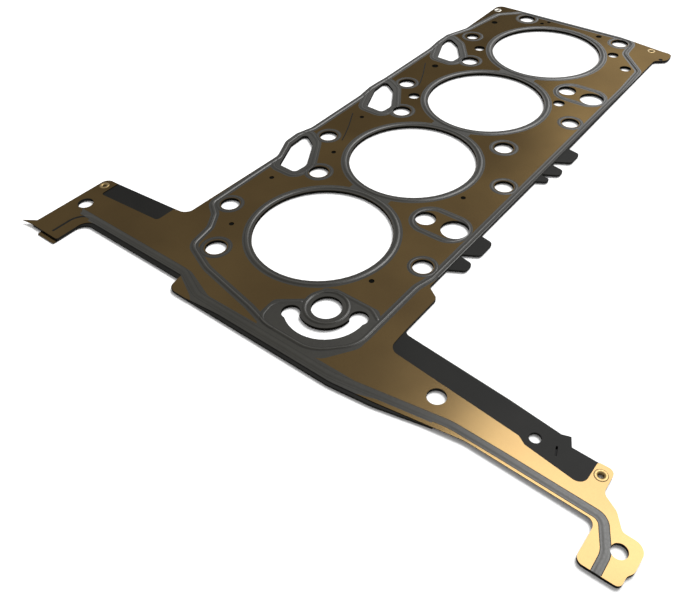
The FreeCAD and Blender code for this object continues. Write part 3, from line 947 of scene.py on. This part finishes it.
class GasketSizes(bpy.types.PropertyGroup):
    """Widths of the beads."""

    bore_bead: bpy.props.FloatProperty(
        name="Bore bead width", description="Foot width of the bore beads", default=2.8 * MM,
        unit="LENGTH", precision=5)
    seal_bead: bpy.props.FloatProperty(
        name="Seal bead width", description="Foot width of the seal and loop beads", default=2.2 * MM,
        unit="LENGTH", precision=5)
    ring_bead: bpy.props.FloatProperty(
        name="Ring bead width", description="Foot width of the low beads round holes", default=1.4 * MM,
        unit="LENGTH", precision=5)
    arm_bead: bpy.props.FloatProperty(
        name="Arm bead width", description="Foot width of the bead along the front edge and the arms",
        default=3.0 * MM, unit="LENGTH", precision=5)


class GasketStage(bpy.types.PropertyGroup):
    """The lights and the even fill."""

    key_azimuth: bpy.props.FloatProperty(
        name="Key azimuth", description="Side that the key light comes from, from the rear end's",
        default=math.radians(0.0), subtype="ANGLE")
    key_elevation: bpy.props.FloatProperty(
        name="Key elevation", description="Height of the key light", default=math.radians(56.0),
        subtype="ANGLE")
    key_spread: bpy.props.FloatProperty(
        name="Spread", description="Width of both lights", default=math.radians(28.0), subtype="ANGLE")
    key_strength: bpy.props.FloatProperty(
        name="Key strength", description="Strength of the key light", default=3.1)
    rim_azimuth: bpy.props.FloatProperty(
        name="Rim azimuth", description="Side that the low light comes from, from the rear end's",
        default=math.radians(6.0), subtype="ANGLE")
    rim_elevation: bpy.props.FloatProperty(
        name="Rim elevation", description="Height of the low light", default=math.radians(28.0),
        subtype="ANGLE")
    rim_strength: bpy.props.FloatProperty(
        name="Rim strength", description="Strength of the low light", default=0.6)
    fill: bpy.props.FloatProperty(
        name="Fill", description="Strength of the even light", default=0.5)


class GASKET_OT_upper_sheet(bpy.types.Operator):
    """Cuts the upper sheet to its plan, marks its prints and presses its beads"""

    bl_idname = "gasket.upper_sheet"
    bl_label = "Upper sheet"

    def execute(self, context):
        colours = context.scene.gasket_colours
        sizes = context.scene.gasket_sizes
        full = BEAD_H * MM
        families = [
            (bore_lines(), sizes.bore_bead, full),
            (seal_lines(), sizes.seal_bead, full),
            (loop_lines(), sizes.seal_bead, full * LOOP_RISE),
            (ring_lines(), sizes.ring_bead, full * RING_RISE),
            (arm_lines(), sizes.arm_bead, full * ARM_RISE),
        ]
        wide = [path_points(outline, True) for outline in (SLOT_PRINT, FRONT_PRINT, *web_prints())]
        ports = [path_points(port_loop(index, LOOP_OUT), True) for index in range(len(BORES) - 1)]
        plan = SheetPlan("upper_sheet")
        for lines, width, _ in families:
            for line in lines:
                plan.add_bead(line, width / MM)
        for outline in wide:
            plan.add_line(outline, True)
        for points, closed, reach in plain_prints():
            plan.add_sides(points, closed, reach)
            plan.add_sides(points, closed, reach - BEAD_GUARD)
        for points, closed, reach in dark_lines():
            plan.add_sides(points, closed, reach)
        piece, middles = sheet_mesh("embossed_sheet", plan, TOP_Z)
        store_finishes(piece.data, finish_numbers(middles, families, wide + ports))
        finishes = {
            "Coat": bronze_coat("bronze_coat", colours),
            "Print": grey_print(colours),
            # The print edge is partly painted shade at a bead's foot.
            "Print edge": dark_finish("print_edge", colours.foot_dark, colours.print_dark, 0.17),
            # The crease is painted shade, near black.
            "Crease": dark_finish("crease", colours.covered, colours.foot_dark, 0.05),
        }
        for i, (lines, width, height) in enumerate(families):
            guide = line_object("bead_lines_" + str(i), lines)
            bake_shape(piece, press_tree(), {"Lines": guide, "Width": width, "Height": height, **finishes})
            bpy.data.objects.remove(guide)
        even_normals(piece.data)
        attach(piece, "root")
        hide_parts("upper_sheet")
        return {"FINISHED"}


class GASKET_OT_layers(bpy.types.Operator):
    """Gives the carrier and the lower sheet their finishes"""

    bl_idname = "gasket.layers"
    bl_label = "Carrier and lower sheet"

    def execute(self, context):
        colours = context.scene.gasket_colours
        set_material(NODES["carrier_sheet"], black_coat(colours))
        # Painted shade: the lower sheet's top below the left edge is near black where the carrier lies over
        # it.
        set_material(NODES["lower_sheet"], bronze_coat("lower_coat", colours, LEFT_EDGE * MM))
        return {"FINISHED"}


class GASKET_OT_eyelets(bpy.types.Operator):
    """Gives the eyelets their metals"""

    bl_idname = "gasket.eyelets"
    bl_label = "Eyelets"

    def execute(self, context):
        colours = context.scene.gasket_colours
        ring = link_object("rolled_ring", turned_mesh("rolled_ring", eyelet_profile("eyelet_right_arm")))
        families = (
            ("brass_eyelet", "brass_rivet", colours.brass, 0.36, ("eyelet_right_arm",)),
            ("plated_rivets", "plated_rivet", colours.plated, 0.35,
             ("eyelet_left_arm", "rivet_far_left", "rivet_far_right")),
        )
        for name, slot, colour, roughness, nodes in families:
            corners = [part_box(node) for node in nodes]
            spots = [((low.x + high.x) / 2, (low.y + high.y) / 2, 0.0) for low, high in corners]
            mesh = bpy.data.meshes.new(name)
            mesh.from_pydata(spots, [], [])
            piece = link_object(name, mesh)
            metal = bare_metal(name + "_metal", tuple(colour), tuple(colours.brass), roughness)
            bake_shape(piece, eyelet_tree(), {"Ring": ring, "Metal": metal})
            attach(piece, "root")
            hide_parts(*nodes)
        bpy.data.objects.remove(ring)
        return {"FINISHED"}


class GASKET_OT_stage(bpy.types.Operator):
    """Sets the floor, the lights and the camera"""

    bl_idname = "gasket.stage"
    bl_label = "Stage"

    def execute(self, context):
        settings = context.scene.gasket_stage
        self.make_floor()
        self.make_world(settings.fill)
        self.soft_sun("key_light", settings.key_azimuth, settings.key_elevation, settings.key_spread,
                      settings.key_strength)
        self.soft_sun("rim_light", settings.rim_azimuth, settings.rim_elevation, settings.key_spread,
                      settings.rim_strength)
        self.make_camera()
        context.scene.view_settings.view_transform = "Standard"
        return {"FINISHED"}

    def make_floor(self):
        bpy.ops.mesh.primitive_plane_add(size=30.0, location=(0.12, 0.0, (FLOOR_Z - 0.02) * MM))
        floor = bpy.context.object
        floor.name = "floor"
        material, graph = new_material("pale_floor")
        finish_surface(graph, Base_Color=(0.98, 0.98, 0.98, 1.0), Roughness=0.9, Specular_IOR_Level=0.0)
        floor.data.materials.append(material)

    def make_world(self, fill):
        world = bpy.data.worlds.new("studio")
        world.use_nodes = True
        world.node_tree.nodes.clear()
        graph = Graph(world.node_tree)
        path = world.node_tree.nodes.new("ShaderNodeLightPath")
        kinds = ("Is Camera Ray", "Is Glossy Ray", "Is Transmission Ray")
        rays = [Value(graph, path.outputs[name]) for name in kinds]
        seen = graph.clamp(rays[0] + rays[1] + rays[2])
        strength = seen * (1.0 - fill) + fill
        back = graph.node("ShaderNodeBackground", {}, {"Color": (1.0, 1.0, 1.0, 1.0), "Strength": strength})
        graph.node("ShaderNodeOutputWorld", {}, {"Surface": back})
        bpy.context.scene.world = world

    def soft_sun(self, name, azimuth, elevation, spread, strength):
        """A wide even light from far away; azimuth 0 is the rear end's side."""
        data = bpy.data.lights.new(name, "SUN")
        data.energy = strength
        data.angle = spread
        light = bpy.data.objects.new(name, data)
        bpy.context.scene.collection.objects.link(light)
        flat = math.cos(elevation)
        back = Vector((math.cos(azimuth) * flat, math.sin(azimuth) * flat, math.sin(elevation)))
        light.location = back
        light.rotation_euler = back.to_track_quat("Z", "Y").to_euler()

    def make_camera(self):
        """The camera of the photograph, from the four bores' edges."""
        turn = Vector(CAMERA_TURN)
        turned = Matrix.Rotation(turn.length, 3, turn.normalized())
        place = -(turned.transposed() @ Vector(CAMERA_SHIFT)) * (CAMERA_UNIT * MM)
        flip = Matrix(((1, 0, 0), (0, -1, 0), (0, 0, -1)))
        data = bpy.data.cameras.new("photo_camera")
        data.sensor_width = SENSOR_WIDTH
        data.lens = CAMERA_LENS
        data.clip_start = 0.01
        data.clip_end = 50.0
        camera = bpy.data.objects.new("photo_camera", data)
        bpy.context.scene.collection.objects.link(camera)
        camera.matrix_world = Matrix.Translation(place + Vector((0, 0, TOP_Z * MM))) @ (
            (flip @ turned).transposed().to_4x4())
        bpy.context.scene.camera = camera


class GASKET_PT_panel(bpy.types.Panel):
    """Lists the gasket's steps in the sidebar"""

    bl_idname = "GASKET_PT_panel"
    bl_label = "Cylinder head gasket"
    bl_space_type = "VIEW_3D"
    bl_region_type = "UI"
    bl_category = "Gasket"

    def draw(self, context):
        for step in STEPS:
            self.layout.operator(step.bl_idname)


STEPS = (GASKET_OT_upper_sheet, GASKET_OT_layers, GASKET_OT_eyelets, GASKET_OT_stage)
GROUPS = {"gasket_colours": GasketColours, "gasket_sizes": GasketSizes, "gasket_stage": GasketStage}
CLASSES = (*GROUPS.values(), *STEPS, GASKET_PT_panel)


def register():
    for each in CLASSES:
        bpy.utils.register_class(each)
    for name, group in GROUPS.items():
        setattr(bpy.types.Scene, name, bpy.props.PointerProperty(type=group))


def unregister():
    for name in GROUPS:
        delattr(bpy.types.Scene, name)
    for each in reversed(CLASSES):
        bpy.utils.unregister_class(each)


def main():
    register()
    for step in STEPS:
        family, name = step.bl_idname.split(".")
        getattr(getattr(bpy.ops, family), name)()


if __name__ == "__main__":
    main()
